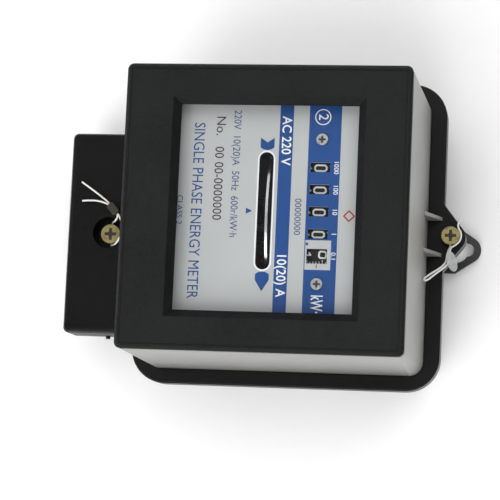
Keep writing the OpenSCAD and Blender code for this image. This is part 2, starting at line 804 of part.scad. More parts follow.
module top_bearing() {
    color([0.82, 0.68, 0.35]) {
        rod_z(0, spindle_y, 2.45, frame_high - arm_t - 2, frame_high + 1);
        rod_z(0, spindle_y, pin_r, spindle_top - 3, frame_high - arm_t);
    }
}

module jewel_bearing() {
    color([0.82, 0.68, 0.35]) difference() {
        union() {
            rod_z(0, spindle_y, 2.95, frame_low - 3.5, spindle_low + 1);
            rod_z(0, spindle_y, 4, frame_low - 3.5, frame_low - 2.1);
        }
        rod_z(0, spindle_y, pin_r + running, spindle_low - 1.1, spindle_low + 2);
    }
}

module current_leads() {
    top = clamp_low + clamp_h;
    color([0.75, 0.4, 0.2]) for (run = [[-21, -9.5, -16], [-11, 9.5, 9]])
        wire(eased([[run[0], -wire_y, top], [run[0], -wire_y, -47], [run[2], -39, -42],
            [run[1], -39, -26], [run[1], -36, -20]], 3), 1.4);
}

module voltage_leads() {
    top = clamp_low + clamp_h;
    color([0.7, 0.15, 0.12]) for (run = [[11, 31, 14], [21, 35, 20]])
        wire(eased([[run[0], -wire_y, top], [run[0], -wire_y, -50], [run[1], -12.5, -44],
            [run[1], -12.5, run[2]], [13.6, -15, run[2]]], 3), 0.6);
}

// ---- Dial and register ----

module dial_plate() {
    color([0.78, 0.8, 0.82]) slab(dial_front - dial_t, dial_front) difference() {
        translate([-dial_half, dial_low]) square([2 * dial_half, dial_high - dial_low]);
        slot_r = (slot_high - slot_low) / 2;
        for (x = [-1, 1]) translate([x * (slot_half - slot_r), (slot_high + slot_low) / 2]) circle(slot_r);
        translate([-slot_half + slot_r, slot_low]) square([2 * (slot_half - slot_r), 2 * slot_r]);
        for (i = [-2 : 1]) translate([i * drum_pitch, drum_z]) square([3.5, 7.1], center = true);
        translate([2 * drum_pitch, drum_z]) square([5.3, 7.3], center = true);
        for (x = [-1, 1]) translate([x * dial_screw_x, dial_screw_z]) circle(1.2);
    }
}

module dial_screws() {
    color([0.75, 0.66, 0.35]) for (x = [-1, 1])
        pan_screw(x * dial_screw_x, dial_screw_z, 2.1, 0.9, 1.1, dial_front, 3.2);
}

module register_frame() {
    flange_back = dial_front - dial_t - flange_plate;
    color([0.7, 0.71, 0.72]) difference() {
        union() {
            for (x = [-side_x - side_t, side_x]) {
                block(x, x + side_t, side_back, dial_front - dial_t, side_low, side_high);
            }
            for (x = [-side_x - flange_reach, side_x])
                block(x, x + flange_reach, flange_back, dial_front - dial_t, 12, 28);
            block(-side_x - 1, side_x + 1, side_back, 67, side_high - 4, side_high);
            block(-side_x - 1, side_x + 1, 66, 70, side_low, side_low + 2);
        }
        rod_x(drum_axis, shaft_r, -30, 30);
        rod_x(carry_axis, carry_r, -30, 30);
        rod_x(wheel_axis, arbor_r + running, -30, 30);
        rod_x(idler_axis, arbor_r + running, side_x - 1, side_x + 2);
        for (x = [-1, 1]) rod_y(x * dial_screw_x, dial_screw_z, 1.12, flange_back - 1, dial_front);
        for (y = [-60, -64]) rod_z(0, y, 1.15, side_high - 5, side_high + 1);
    }
}

module register_screws() {
    color([0.75, 0.66, 0.35]) for (y = [-60, -64]) {
        rod_z(0, y, 1.1, side_high - 4, frame_high);
        rod_z(0, y, 1.8, frame_high, frame_high + 1.4);
    }
}

module drum_shaft() {
    color([0.8, 0.8, 0.8]) rod_x(drum_axis, shaft_r, -side_x - side_t, side_x + side_t);
}

module carry_shaft() {
    color([0.8, 0.8, 0.8]) rod_x(carry_axis, carry_r, -side_x - side_t, side_x + side_t);
}

// A gear face placed on its axis, turned so that a tooth points along angle
module gear(axis, teeth, m, angle, x, length, tip = 0.8) {
    on_x(x, length) translate(axis) rotate(angle) gear_face(teeth, m, tip);
}

// A number drum; its carry side faces -X and its driven gear faces +X
module drum(x, half, driven) {
    side = carry_w - 0.2;
    color([0.1, 0.1, 0.1]) difference() {
        union() {
            difference() {
                rod_x(drum_axis, drum_r, x - half, x + half);
                rod_x(drum_axis, drum_r - 1, x - half + 1.4, x + half - 1);
                rod_x(drum_axis, drum_r - 1, x, x + half + 1);
            }
            rod_x(drum_axis, 2.4, x - half, x + half);
            rod_x(drum_axis, 5.9, x - half - side, x - half + 1);
            if (driven) {
                gear(drum_axis, drum_teeth, carry_m, 9, x + half, carry_w);
                rod_x(drum_axis, drum_r - 0.9, x + half - 1, x + half);
            }
            else {
                rod_x(drum_axis, drum_r - 0.9, x + half - 1, x + half);
                rod_x(drum_axis, 2.4, x + half - 1, x + half + 1.6);
                gear(drum_axis, drum_gear_teeth, train_m, to_drum + 180 + 180 / drum_gear_teeth,
                    x + half + 1.4, train_w);
            }
            for (turn = [-9, 9]) on_x(x - half - side, side) translate(drum_axis) rotate(90 + turn)
                translate([5.5, -0.5]) square([1.9, 1]);
        }
        rod_x(drum_axis, shaft_r + running, x - 6, x + 8);
    }
}

module thousands_drum() { drum(-2 * drum_pitch, band_w / 2, true); }
module hundreds_drum() { drum(-drum_pitch, band_w / 2, true); }
module tens_drum() { drum(0, band_w / 2, true); }
module units_drum() { drum(drum_pitch, band_w / 2, true); }
module tenths_drum() { drum(2 * drum_pitch, band_w / 2 + 0.2, false); }

// A pinion that carries from one drum to the next; i counts from the left
module carry_pinion(i) {
    start = (i - 2) * drum_pitch + band_w / 2 + 0.3;
    color([0.82, 0.68, 0.35]) difference() {
        gear(carry_axis, carry_teeth, carry_m, 90, start, drum_pitch - band_w - 0.8);
        rod_x(carry_axis, carry_r + running, -30, 30);
    }
}

module carry_pinion_a() { carry_pinion(0); }
module carry_pinion_b() { carry_pinion(1); }
module carry_pinion_c() { carry_pinion(2); }
module carry_pinion_d() { carry_pinion(3); }

module worm_wheel() {
    color([0.82, 0.68, 0.35]) {
        gear(wheel_axis, wheel_teeth, worm_m, 0, -0.8, 1.6, tip = 0.5);
        rod_x(wheel_axis, 2.2, -2.5, 2.5);
        rod_x(wheel_axis, arbor_r, -side_x - side_t - 1, outer_gear_x + 2.6);
        gear(wheel_axis, pinion_teeth, train_m, to_idler, outer_gear_x - 0.4, 2.6);
    }
}

module idler_gear() {
    color([0.82, 0.68, 0.35]) {
        gear(idler_axis, idler_teeth, train_m, to_idler + 180 + 180 / idler_teeth, outer_gear_x, 1.6);
        rod_x(idler_axis, arbor_r, side_x - 2.8, outer_gear_x + 2);
        gear(idler_axis, small_teeth, train_m, to_drum, side_x - 2.6, 1.6);
    }
}

base();
hanger_plate();
hanger_strap();
strap_rivets();
cover_gasket();
cover_rim();
cover_shell();
front_bezel();
window_glass();
top_seal_screw();
top_seal_wire();
top_seal_tag();
terminal_block();
block_screws();
terminal_clamps();
terminal_screws();
voltage_link();
link_screws();
terminal_cover();
terminal_cover_screw();
bottom_seal_wire();
bottom_seal_bead();
main_frame();
frame_screws();
voltage_core();
voltage_coil();
current_core();
current_coils();
core_screws();
brake_yoke();
brake_magnets();
brake_screws();
rotor_disc();
spindle();
worm();
top_bearing();
jewel_bearing();
current_leads();
voltage_leads();
dial_plate();
dial_screws();
register_frame();
register_screws();
drum_shaft();
carry_shaft();
thousands_drum();
hundreds_drum();
tens_drum();
units_drum();
tenths_drum();
carry_pinion_a();
carry_pinion_b();
carry_pinion_c();
carry_pinion_d();
worm_wheel();
idler_gear();
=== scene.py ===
"""Looks for a wall-hung single-phase induction electricity meter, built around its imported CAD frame."""

import json
import math

import bmesh
import bpy
from mathutils import Matrix, Vector


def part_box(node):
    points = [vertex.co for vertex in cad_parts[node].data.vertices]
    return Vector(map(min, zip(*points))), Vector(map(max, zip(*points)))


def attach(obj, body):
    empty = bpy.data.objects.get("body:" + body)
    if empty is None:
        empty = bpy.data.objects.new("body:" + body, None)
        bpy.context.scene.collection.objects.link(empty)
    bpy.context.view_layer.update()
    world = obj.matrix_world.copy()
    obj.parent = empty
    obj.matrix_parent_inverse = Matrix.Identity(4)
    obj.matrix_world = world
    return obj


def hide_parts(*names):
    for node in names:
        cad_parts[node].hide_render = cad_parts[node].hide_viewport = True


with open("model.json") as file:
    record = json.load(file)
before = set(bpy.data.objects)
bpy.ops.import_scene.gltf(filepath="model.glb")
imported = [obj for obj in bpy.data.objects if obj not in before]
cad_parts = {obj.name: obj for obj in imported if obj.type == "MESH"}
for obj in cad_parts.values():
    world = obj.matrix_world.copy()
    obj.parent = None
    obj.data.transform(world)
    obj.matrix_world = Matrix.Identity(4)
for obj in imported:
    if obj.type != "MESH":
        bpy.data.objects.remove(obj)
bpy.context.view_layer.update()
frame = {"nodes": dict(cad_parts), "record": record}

bl_info = {
    "name": "Induction Meter Looks",
    "version": (1, 0, 0),
    "blender": (4, 5, 0),
    "location": "View3D > Sidebar > Meter",
    "description": "Finishes, print, seals and stage for a wall-hung induction electricity meter",
    "category": "Object",
}

MM = 0.001
NODES = frame["nodes"]
BODY_OF = {node: body for body, nodes in frame["record"]["behaviour"]["bodies"].items() for node in nodes}
SLOT_OF = {part["node"]: part["material_slot"] for part in frame["record"]["subparts"]}

# Seal wires, as the frame lays them, in millimetres
TOP_WIRE = [(0, -40.6, 62.3), (2, -40.6, 62.3), (4, -40.7, 62.1), (5.5, -41.4, 61.6),
            (7, -42.4, 61.3), (8.6, -43.5, 61.1), (10.2, -44.6, 60.9), (11.6, -45.8, 60.2),
            (13.4, -47.4, 58.5), (15.2, -49.2, 56.2), (16.8, -50.8, 54.4), (17.8, -51.8, 53.6),
            (18.4, -52.2, 53.9), (18, -51.6, 54.9), (16.8, -50.4, 56.2), (15.2, -48.8, 57.8),
            (13.4, -47, 59.7), (11.8, -45.6, 61.2), (10.2, -44.4, 62), (8.4, -43.3, 62.2),
            (6.8, -42.9, 62.3), (5.4, -42.5, 62.3), (4.5, -42.3, 62.7), (4, -42.2, 63.4),
            (3.2, -42.2, 64.5), (1.9, -42.2, 65.7), (0.2, -42.2, 66.2), (-1.4, -42.2, 66),
            (-2.7, -42.3, 65.3), (-3.8, -42.5, 65), (-4.9, -42.7, 65.2), (-6, -42.9, 65.8)]
BOTTOM_WIRE = [(-19.6, -31.8, -84.2), (-17.6, -32.6, -81.2), (-15.4, -32.8, -78), (-13.2, -32.4, -75),
               (-11.4, -31.6, -72.9), (-9.6, -31.2, -71.2), (-7.8, -31, -69.9), (-6.2, -31, -69.4),
               (-4.8, -30.4, -70.2), (-4.6, -28.6, -71), (-4.7, -26.2, -72), (-4.4, -24.4, -72.7),
               (-3.4, -23.6, -73), (-1.6, -23.5, -73), (1.6, -23.5, -73), (3.4, -23.6, -73),
               (4.4, -24.4, -72.8), (4.8, -26.2, -72.2), (4.7, -28.4, -71), (4.2, -30.2, -69.6),
               (2.6, -31, -68.3), (0, -31.2, -67.3), (-2.8, -31.3, -67.3), (-5.6, -31.5, -68.2),
               (-8, -31.7, -69.7), (-9.9, -31.9, -71.6), (-11.2, -32.5, -74), (-12, -32.9, -77),
               (-12.2, -32.6, -80.4), (-12.1, -32, -83.6)]


CORD_WIDTH = 0.7        # thickness of both seal wires
FILM = 0.03             # how far print stands proud
SEAL_RECESS = 1.3       # depth of the cross recess of the two seal screws
DIAL_RECESS = 0.45      # depth of the cross recess of the dial screws
DRUM_AXIS = (-85.3, 18.6)
DRUM_RADIUS = 8.9
DRUM_PLACES = (("thousands_drum", -16), ("hundreds_drum", -8), ("tens_drum", 0), ("units_drum", 8))
FIGURE_STEP = 36        # degrees between two figures of a drum
TENTHS_LEAD = 12        # degrees that the tenths drum has turned past 0


# ---- Sizes and colours a user would change ----

class MeterFinish(bpy.types.PropertyGroup):
    """Colours and surface values of the meter's finishes"""
    case_colour: bpy.props.FloatVectorProperty(
        name="Case", description="Moulded black of the base and terminal cover",
        subtype="COLOR", size=3, default=(0.0034, 0.0034, 0.0036), min=0, max=1)
    bezel_colour: bpy.props.FloatVectorProperty(
        name="Bezel", description="Grained charcoal of the front bezel",
        subtype="COLOR", size=3, default=(0.0068, 0.0073, 0.0073), min=0, max=1)
    shell_colour: bpy.props.FloatVectorProperty(
        name="Shell", description="Warm light grey enamel of the shell",
        subtype="COLOR", size=3, default=(0.25, 0.248, 0.237), min=0, max=1)
    dial_colour: bpy.props.FloatVectorProperty(
        name="Dial", description="Silver grey of the dial plate",
        subtype="COLOR", size=3, default=(0.395, 0.412, 0.41), min=0, max=1)
    blue_ink: bpy.props.FloatVectorProperty(
        name="Blue ink", description="Blue of the dial's bands",
        subtype="COLOR", size=3, default=(0.004, 0.051, 0.208), min=0, max=1)
    plating_colour: bpy.props.FloatVectorProperty(
        name="Plating", description="Yellow zinc plating of the screws",
        subtype="COLOR", size=3, default=(0.3, 0.25, 0.11), min=0, max=1)
    edge_radius: bpy.props.FloatProperty(
        name="Edge radius", description="Rounding of the moulded edges",
        subtype="DISTANCE", unit="LENGTH", default=0.0004, min=0, max=0.001)
    grain_depth: bpy.props.FloatProperty(
        name="Grain depth", description="Height of the moulded grain",
        subtype="DISTANCE", unit="LENGTH", default=0.00006, min=0, max=0.0005)


class MeterStage(bpy.types.PropertyGroup):
    """Camera and light round the meter"""
    lens: bpy.props.FloatProperty(
        name="Lens", description="Focal length of the camera in millimetres",
        default=147.5, min=20, max=400)
    wall_colour: bpy.props.FloatVectorProperty(
        name="Wall", description="Pale colour of the wall and floor",
        subtype="COLOR", size=3, default=(0.97, 0.97, 0.97), min=0, max=1)
    key_power: bpy.props.FloatProperty(
        name="Key light", description="Power of the large light overhead",
        default=14.5, min=0, max=500, unit="POWER")
    sky_strength: bpy.props.FloatProperty(
        name="Sky", description="Strength of the even light from all round",
        default=0.35, min=0, max=5)


# ---- Node groups ----

def new_group(name, inputs, outputs):
    """A shader node group with named float, colour or vector sockets."""
    group = bpy.data.node_groups.new(name, "ShaderNodeTree")
    for label, kind, default in inputs:
        socket = group.interface.new_socket(name=label, in_out="INPUT", socket_type=kind)
        socket.default_value = default
    for label, kind in outputs:
        group.interface.new_socket(name=label, in_out="OUTPUT", socket_type=kind)
    return group, group.nodes.new("NodeGroupInput"), group.nodes.new("NodeGroupOutput")


def add(tree, kind, links=None, **values):
    """Adds a node, sets its properties, and joins or sets its inputs by name or number."""
    node = tree.nodes.new(kind)
    for key, value in values.items():
        setattr(node, key, value)
    for key, value in (links or {}).items():
        if isinstance(value, bpy.types.NodeSocket):
            tree.links.new(value, node.inputs[key])
        else:
            node.inputs[key].default_value = value
    return node


def grain_group():
    """Fine moulded grain with uneven colour and gloss, for plastic and enamel."""
    if "Moulded Grain" in bpy.data.node_groups:
        return bpy.data.node_groups["Moulded Grain"]
    group, inlet, outlet = new_group("Moulded Grain", [
        ("Color", "NodeSocketColor", (0.5, 0.5, 0.5, 1)),
        ("Scale", "NodeSocketFloat", 3000.0),
        ("Unevenness", "NodeSocketFloat", 0.15),
        ("Roughness", "NodeSocketFloat", 0.5),
    ], [("Color", "NodeSocketColor"), ("Roughness", "NodeSocketFloat"), ("Height", "NodeSocketFloat")])
    place = add(group, "ShaderNodeTexCoord")
    where, scale = place.outputs["Object"], inlet.outputs["Scale"]
    fine = add(group, "ShaderNodeTexNoise", {"Vector": where, "Scale": scale, "Detail": 3.0,
                                             "Roughness": 0.6})
    pits = add(group, "ShaderNodeTexVoronoi", {"Vector": where, "Scale": scale}, feature="F1")
    broad = add(group, "ShaderNodeTexNoise", {"Vector": where, "Scale": 45.0, "Detail": 4.0})
    height = add(group, "ShaderNodeMath", {0: fine.outputs["Fac"], 1: pits.outputs["Distance"]},
                 operation="ADD")
    swing = add(group, "ShaderNodeMapRange", {"Value": broad.outputs["Fac"], "From Min": 0.3, "From Max": 0.7,
                                              "To Min": -0.5, "To Max": 0.5})
    fleck = add(group, "ShaderNodeMapRange", {"Value": fine.outputs["Fac"], "From Min": 0.3, "From Max": 0.7,
                                              "To Min": -0.5, "To Max": 0.5})
    both = add(group, "ShaderNodeMath", {0: swing.outputs[0], 1: fleck.outputs[0]}, operation="ADD")
    scaled = add(group, "ShaderNodeMath", {0: both.outputs[0], 1: inlet.outputs["Unevenness"]},
                 operation="MULTIPLY")
    factor = add(group, "ShaderNodeMath", {0: scaled.outputs[0], 1: 1.0}, operation="ADD")
    colour = add(group, "ShaderNodeVectorMath", {0: inlet.outputs["Color"]}, operation="SCALE")
    group.links.new(factor.outputs[0], colour.inputs["Scale"])
    rough = add(group, "ShaderNodeMath", {0: inlet.outputs["Roughness"], 1: factor.outputs[0]},
                operation="MULTIPLY")
    for output, source in (("Color", colour), ("Roughness", rough), ("Height", height)):
        group.links.new(source.outputs[0], outlet.inputs[output])
    return group


def brushed_group():
    """Fine drawn lines along one axis with stains, for rolled and turned metal."""
    if "Brushed Lines" in bpy.data.node_groups:
        return bpy.data.node_groups["Brushed Lines"]
    group, inlet, outlet = new_group("Brushed Lines", [
        ("Color", "NodeSocketColor", (0.5, 0.5, 0.5, 1)),
        ("Stain", "NodeSocketColor", (0.3, 0.3, 0.3, 1)),
        ("Stretch", "NodeSocketVector", (1.0, 1.0, 12.0)),
        ("Roughness", "NodeSocketFloat", 0.3),
    ], [("Color", "NodeSocketColor"), ("Roughness", "NodeSocketFloat"), ("Height", "NodeSocketFloat")])
    place = add(group, "ShaderNodeTexCoord")
    where = place.outputs["Object"]
    stretched = add(group, "ShaderNodeVectorMath", {0: where, 1: inlet.outputs["Stretch"]},
                    operation="MULTIPLY")
    lines = add(group, "ShaderNodeTexNoise", {"Vector": stretched.outputs[0], "Scale": 900.0, "Detail": 2.0})
    stains = add(group, "ShaderNodeTexNoise", {"Vector": where, "Scale": 400.0, "Detail": 5.0})
    mask = add(group, "ShaderNodeMapRange", {"Value": stains.outputs["Fac"], "From Min": 0.48,
                                             "From Max": 0.72, "To Min": 0.0, "To Max": 0.75})
    colour = add(group, "ShaderNodeMix", {"Factor": mask.outputs[0], 6: inlet.outputs["Color"],
                                          7: inlet.outputs["Stain"]}, data_type="RGBA")
    spread = add(group, "ShaderNodeMapRange", {"Value": lines.outputs["Fac"], "From Min": 0.3,
                                               "From Max": 0.7, "To Min": 0.75, "To Max": 1.35})
    rough = add(group, "ShaderNodeMath", {0: inlet.outputs["Roughness"], 1: spread.outputs[0]},
                operation="MULTIPLY")
    group.links.new(colour.outputs[2], outlet.inputs["Color"])
    group.links.new(rough.outputs[0], outlet.inputs["Roughness"])
    group.links.new(lines.outputs["Fac"], outlet.inputs["Height"])
    return group


# ---- Materials ----

def finish_values():
    return bpy.context.scene.meter_finish


def rgba(colour):
    return (colour[0], colour[1], colour[2], 1.0)


def start_material(name, **principled):
    """A material with a Principled BSDF whose named sockets are set to constants."""
    if name in bpy.data.materials:
        return bpy.data.materials[name], None, None
    material = bpy.data.materials.new(name)
    material.use_nodes = True
    tree = material.node_tree
    shader = tree.nodes["Principled BSDF"]
    for key, value in principled.items():
        shader.inputs[key.replace("_", " ")].default_value = value
    return material, tree, shader


def surfaced(name, group, values, depth, distance=1.0, **principled):
    """A material whose colour, roughness and bump come from one of the shared groups."""
    material, tree, shader = start_material(name, **principled)
    if tree is None:
        return material
    node = add(tree, "ShaderNodeGroup", node_tree=group)
    for key, value in values.items():
        node.inputs[key].default_value = value
    tree.links.new(node.outputs["Color"], shader.inputs["Base Color"])
    tree.links.new(node.outputs["Roughness"], shader.inputs["Roughness"])
    bump = add(tree, "ShaderNodeBump", {"Height": node.outputs["Height"], "Strength": distance,
                                        "Distance": depth})
    tree.links.new(bump.outputs["Normal"], shader.inputs["Normal"])
    return material


def moulded(name, colour, roughness=0.5, scale=3000.0, depth=None, unevenness=0.15, **principled):
    depth = finish_values().grain_depth if depth is None else depth
    return surfaced(name, grain_group(), {"Color": rgba(colour), "Scale": scale, "Unevenness": unevenness,
                                          "Roughness": roughness}, depth, **principled)


def drawn_metal(name, colour, stain, roughness=0.3, stretch=(1, 1, 12), depth=0.00001):
    return surfaced(name, brushed_group(), {"Color": rgba(colour), "Stain": rgba(stain), "Stretch": stretch,
                                            "Roughness": roughness}, depth, Metallic=1.0)


def glass_material():
    material, tree, shader = start_material("window_glass_clear", Roughness=0.04, Alpha=0.02, IOR=1.5,
                                            Specular_IOR_Level=0.3)
    if tree is None:
        return material
    place = add(tree, "ShaderNodeTexCoord")
    haze = add(tree, "ShaderNodeTexNoise", {"Vector": place.outputs["Object"], "Scale": 60.0, "Detail": 5.0})
    colour = add(tree, "ShaderNodeMix", {"Factor": haze.outputs["Fac"], 6: (0.12, 0.13, 0.135, 1),
                                         7: (0.3, 0.32, 0.33, 1)}, data_type="RGBA")
    tree.links.new(colour.outputs[2], shader.inputs["Base Color"])
    return material


def material_for(slot):
    """The finish of a record's material slot."""
    v = finish_values()
    steel_stain = (0.28, 0.27, 0.26)
    brass_stain = (0.35, 0.22, 0.08)
    makers = {
        "case_black": lambda: moulded("case_black_moulded", v.case_colour, 0.36, 1000.0, 0.00005, 0.4,
                                      Specular_IOR_Level=0.12),
        "rim_black": lambda: moulded("rim_black_moulded", v.case_colour, 0.4, 1600.0, 0.00003,
                                     Specular_IOR_Level=0.16),
        "bezel_black": lambda: moulded("bezel_grained", v.bezel_colour, 0.5, 900.0, 0.00012, 0.45,
                                       Specular_IOR_Level=0.16),
        "shell_grey": lambda: moulded("shell_enamel", v.shell_colour, 0.42, 1100.0, 0.00003, 0.12),
        "glass": glass_material,
        "gasket": lambda: moulded("gasket_rubber", (0.02, 0.02, 0.02), 0.75, 2500.0, 0.00004),
        "zinc_yellow": lambda: drawn_metal("zinc_yellow_plating", v.plating_colour, (0.09, 0.12, 0.05), 0.22),
        "steel": lambda: drawn_metal("bright_steel", (0.42, 0.43, 0.43), steel_stain, 0.28),
        "hanger_black": lambda: moulded("hanger_black_paint", (0.02, 0.02, 0.022), 0.34, 2000.0, 0.00002),
        "laminations": lambda: drawn_metal("laminated_steel", (0.2, 0.21, 0.23), (0.12, 0.1, 0.09), 0.45,
                                           (1, 14, 1), 0.00006),
        "coil": lambda: moulded("coil_varnish", (0.22, 0.075, 0.02), 0.28, 900.0, 0.00003, 0.3),
        "copper": lambda: drawn_metal("bare_copper", (0.75, 0.36, 0.2), (0.3, 0.12, 0.06), 0.3),
        "lead_red": lambda: moulded("red_insulation", (0.35, 0.018, 0.014), 0.32, 2500.0, 0.00002),
        "brass": lambda: drawn_metal("turned_brass", (0.72, 0.5, 0.2), brass_stain, 0.26),
        "aluminium": lambda: drawn_metal("rolled_aluminium", (0.8, 0.81, 0.82), (0.62, 0.63, 0.64), 0.3,
                                         (12, 1, 1)),
        "casting": lambda: moulded("die_casting", (0.42, 0.43, 0.44), 0.42, 1200.0, 0.00008, 0.12,
                                   Metallic=0.9),
        "magnet": lambda: moulded("magnet_dark", (0.06, 0.06, 0.065), 0.4, 1500.0, 0.00006, 0.2,
                                  Metallic=0.6),
        "dial": lambda: moulded("dial_silver", v.dial_colour, 0.45, 4000.0, 0.00001, 0.06),
        "drum_black": lambda: moulded("drum_black_moulded", (0.005, 0.005, 0.005), 0.45, 3000.0, 0.00002,
                                      Specular_IOR_Level=0.2),
        "seal_wire": lambda: moulded("seal_wire_white", (0.78, 0.78, 0.76), 0.4, 4000.0, 0.00002, 0.08),
        "seal_tag": clear_tag_material,
        "seal_lead": lambda: moulded("seal_bead_dark", (0.035, 0.03, 0.02), 0.45, 1500.0, 0.0001, 0.4,
                                     Metallic=0.5),
    }
    return makers[slot]()


def clear_tag_material():
    material, tree, shader = start_material("seal_tag_clear", Roughness=0.12, Alpha=0.5, IOR=1.49)
    if tree is None:
        return material
    place = add(tree, "ShaderNodeTexCoord")
    flow = add(tree, "ShaderNodeTexNoise", {"Vector": place.outputs["Object"], "Scale": 700.0, "Detail": 3.0})
    colour = add(tree, "ShaderNodeMix", {"Factor": flow.outputs["Fac"], 6: (0.4, 0.41, 0.42, 1),
                                         7: (0.85, 0.86, 0.86, 1)}, data_type="RGBA")
    tree.links.new(colour.outputs[2], shader.inputs["Base Color"])
    return material


def ink(name, colour, roughness=0.4):
    return moulded(name, colour, roughness, 5000.0, 0.000005, 0.08, Specular_IOR_Level=0.25)


# ---- Mesh helpers ----

def make_object(name, mesh, material, body, smooth_angle=0.6):
    piece = bpy.data.objects.new(name, mesh)
    bpy.context.scene.collection.objects.link(piece)
    mesh.materials.clear()
    mesh.materials.append(material)
    for face in mesh.polygons:
        face.use_smooth = True
    mesh.set_sharp_from_angle(angle=smooth_angle)
    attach(piece, body)
    return piece


def refined(node, radius, segments=3, material=None, join_flats=True):
    """A copy of a CAD node with its hard edges rounded, which stands for it."""
    work = bmesh.new()
    work.from_mesh(NODES[node].data)
    bmesh.ops.remove_doubles(work, verts=work.verts, dist=0.000002)
    if join_flats:
        bmesh.ops.dissolve_limit(work, angle_limit=math.radians(1.0), verts=work.verts, edges=work.edges)
    mesh = bpy.data.meshes.new(node + "_finished")
    work.to_mesh(mesh)
    work.free()
    material = material or material_for(SLOT_OF[node])
    piece = make_object(node + "_finished", mesh, material, BODY_OF[node])
    if radius > 0:
        bevel = piece.modifiers.new("rounded_edges", "BEVEL")
        bevel.width = radius
        bevel.segments = segments
        bevel.limit_method = "ANGLE"
        bevel.angle_limit = math.radians(35)
        bevel.use_clamp_overlap = True
        bevel.harden_normals = False
        even = piece.modifiers.new("even_shading", "WEIGHTED_NORMAL")
        even.keep_sharp = True
    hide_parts(node)
    return piece


def finish_node(node):
    """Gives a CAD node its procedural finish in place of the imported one."""
    data = NODES[node].data
    data.materials.clear()
    data.materials.append(material_for(SLOT_OF[node]))


def flat_shape(work, outline, depth, front):
    """Adds a thin plate with an outline in X and Z, in millimetres, standing proud of y = front."""
    points = [Vector((x * MM, front * MM, z * MM)) for x, z in outline]
    area = sum(a.x * b.z - b.x * a.z for a, b in zip(points, points[1:] + points[:1]))
    if area > 0:
        points.reverse()
    face = work.faces.new([work.verts.new(p) for p in points])
    face.normal_update()
    raised = bmesh.ops.extrude_face_region(work, geom=[face])
    moved = [item for item in raised["geom"] if isinstance(item, bmesh.types.BMVert)]
    bmesh.ops.translate(work, verts=moved, vec=Vector((0, -depth * MM, 0)))


def rect(x0, x1, z0, z1):
    return [(x0, z0), (x1, z0), (x1, z1), (x0, z1)]


def rects_round_holes(area, holes):
    """Rectangles that cover an area and leave out the holes; each is (x0, x1, z0, z1)."""
    xs = sorted({area[0], area[1]} | {x for h in holes for x in h[:2]})
    zs = sorted({area[2], area[3]} | {z for h in holes for z in h[2:]})
    for x0, x1 in zip(xs, xs[1:]):
        for z0, z1 in zip(zs, zs[1:]):
            mx, mz = (x0 + x1) / 2, (z0 + z1) / 2
            if not any(h[0] < mx < h[1] and h[2] < mz < h[3] for h in holes):
                yield rect(x0, x1, z0, z1)


def text_mesh(words, height, bold=0.0, width_factor=1.0, align="CENTER"):
    """A flat mesh of figures or unit letters, height in millimetres, in X and Y round its middle."""
    curve = bpy.data.curves.new("lettering", "FONT")
    curve.body = words
    curve.align_x = align
    curve.align_y = "CENTER"
    curve.size = 1.0
    curve.offset = bold
    curve.resolution_u = 3
    holder = bpy.data.objects.new("lettering", curve)
    bpy.context.scene.collection.objects.link(holder)
    graph = bpy.context.evaluated_depsgraph_get()
    mesh = bpy.data.meshes.new_from_object(holder.evaluated_get(graph))
    bpy.data.objects.remove(holder)
    bpy.data.curves.remove(curve)
    scale = height * MM / 0.69
    mesh.transform(Matrix.Diagonal((scale * width_factor, scale, scale, 1)))
    return mesh


def letter_on_plate(work, words, x, z, height, front, **how):
    """Adds flat lettering that faces -Y at a place on a plate."""
    mesh = text_mesh(words, height, **how)
    stand = Matrix.Translation((x * MM, front * MM, z * MM)) @ Matrix.Rotation(math.radians(90), 4, "X")
    mesh.transform(stand)
    work.from_mesh(mesh)
    bpy.data.meshes.remove(mesh)


# Strokes of the figures on a grid from -1 to 1 each way
STROKES = {
    "0": [[(-0.5, 1), (0.5, 1), (1, 0.7), (1, -0.7), (0.5, -1), (-0.5, -1), (-1, -0.7), (-1, 0.7),
           (-0.5, 1)]],
    "1": [[(-0.6, 0.55), (0.1, 1), (0.1, -1)]],
    "2": [[(-1, 0.6), (-0.5, 1), (0.5, 1), (1, 0.6), (1, 0.25), (-1, -1), (1, -1)]],
    "3": [[(-1, 0.7), (-0.5, 1), (0.5, 1), (1, 0.65), (1, 0.35), (0.5, 0), (-0.2, 0)],
          [(0.5, 0), (1, -0.35), (1, -0.65), (0.5, -1), (-0.5, -1), (-1, -0.7)]],
    "4": [[(0.5, -1), (0.5, 1), (-1, -0.4), (1, -0.4)]],
    "5": [[(1, 1), (-0.8, 1), (-0.9, 0.15), (0.5, 0.15), (1, -0.15), (1, -0.65), (0.5, -1), (-0.5, -1),
           (-1, -0.7)]],
    "6": [[(0.8, 1), (0, 0.8), (-0.8, 0.2), (-1, -0.6), (-0.5, -1), (0.5, -1), (1, -0.6), (1, -0.2),
           (0.5, 0.1), (-0.8, 0.1)]],
    "7": [[(-1, 1), (1, 1), (-0.2, -1)]],
    "8": [[(-0.5, 0), (-0.9, 0.3), (-0.9, 0.7), (-0.5, 1), (0.5, 1), (0.9, 0.7), (0.9, 0.3), (0.5, 0),
           (-0.5, 0), (-1, -0.35), (-1, -0.65), (-0.5, -1), (0.5, -1), (1, -0.65), (1, -0.35), (0.5, 0)]],
    "9": [[(-0.8, -1), (0, -0.8), (0.8, -0.2), (1, 0.6), (0.5, 1), (-0.5, 1), (-1, 0.6), (-1, 0.2),
           (-0.5, -0.1), (0.8, -0.1)]],
}


